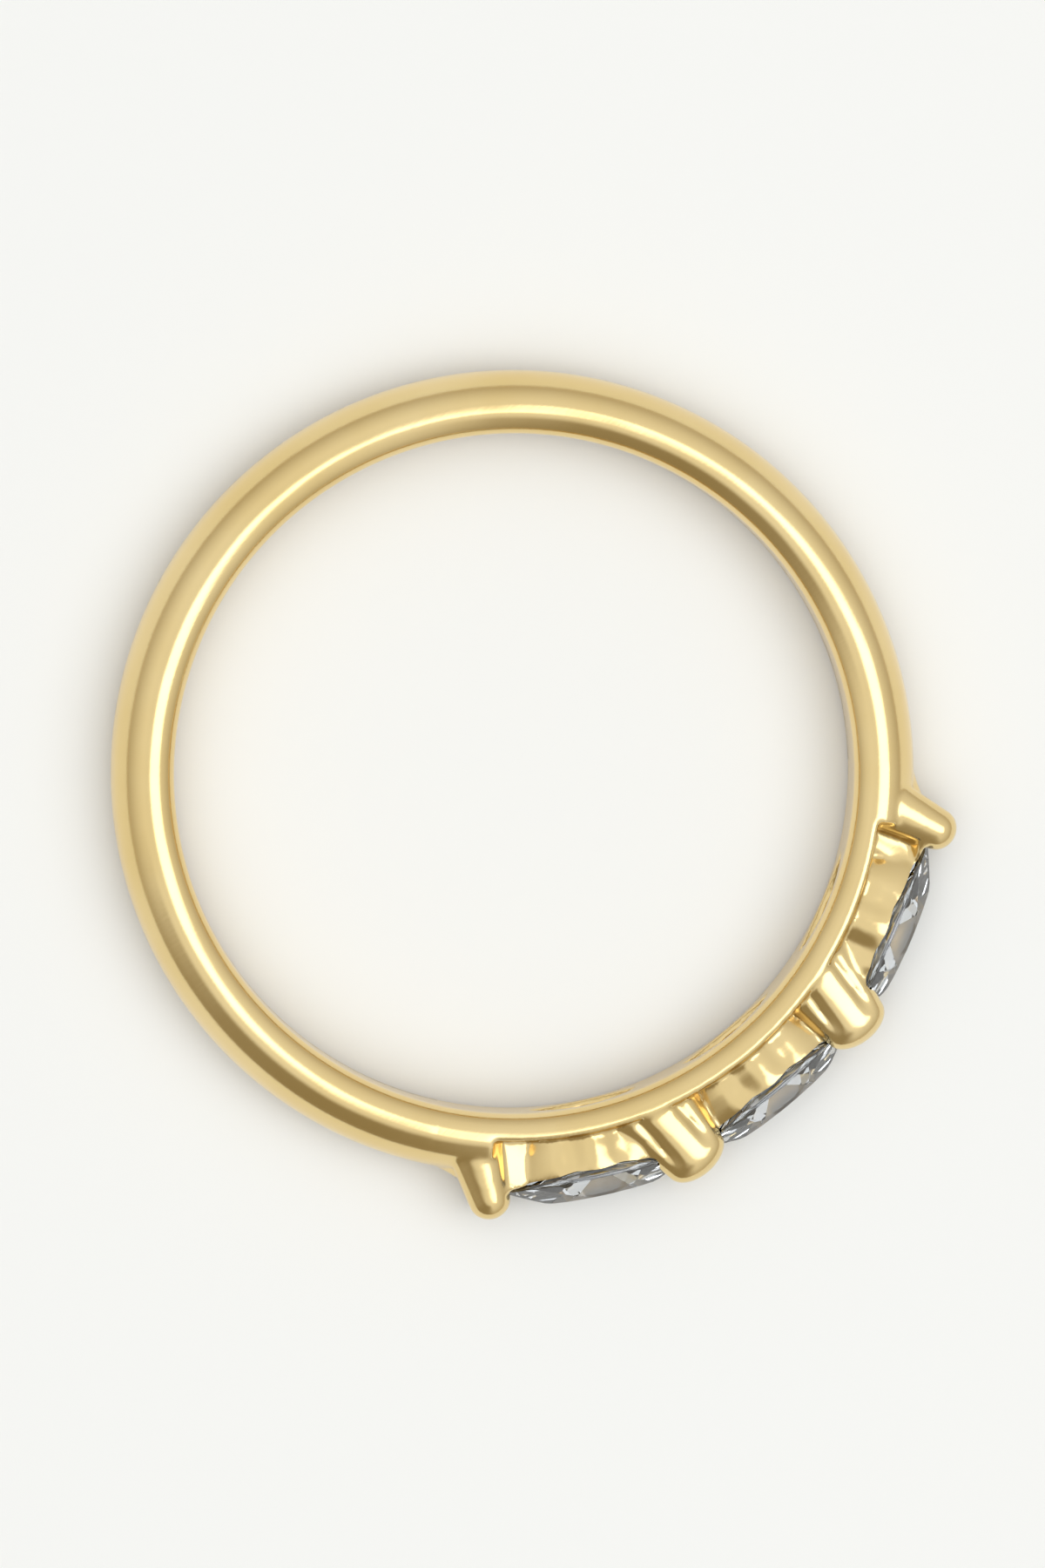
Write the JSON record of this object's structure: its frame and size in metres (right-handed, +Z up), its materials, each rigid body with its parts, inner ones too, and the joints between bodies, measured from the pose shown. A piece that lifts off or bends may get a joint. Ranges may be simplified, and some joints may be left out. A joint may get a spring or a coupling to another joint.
{
  "type": "stackable ring",
  "caption": "Slim domed metal finger ring with clear pointed stones set end to end in claws, made to be worn stacked with others",
  "frame": {"origin": "under the middle of the ring's box, on the surface that it lies on", "axes": "+Z up along the finger hole's axis as the ring lies on its side, -Y from the finger hole out through the middle stone, +X along the row of stones"},
  "size_m": [0.0206, 0.0212, 0.0026],
  "materials": {
    "gold": "polished gold plate",
    "clear_stone": "polished, faceted"
  },
  "bodies": {
    "root": {"band_and_setting": "gold", "stone_left": "clear_stone", "stone_middle": "clear_stone", "stone_right": "clear_stone"}
  },
  "joints": []
}
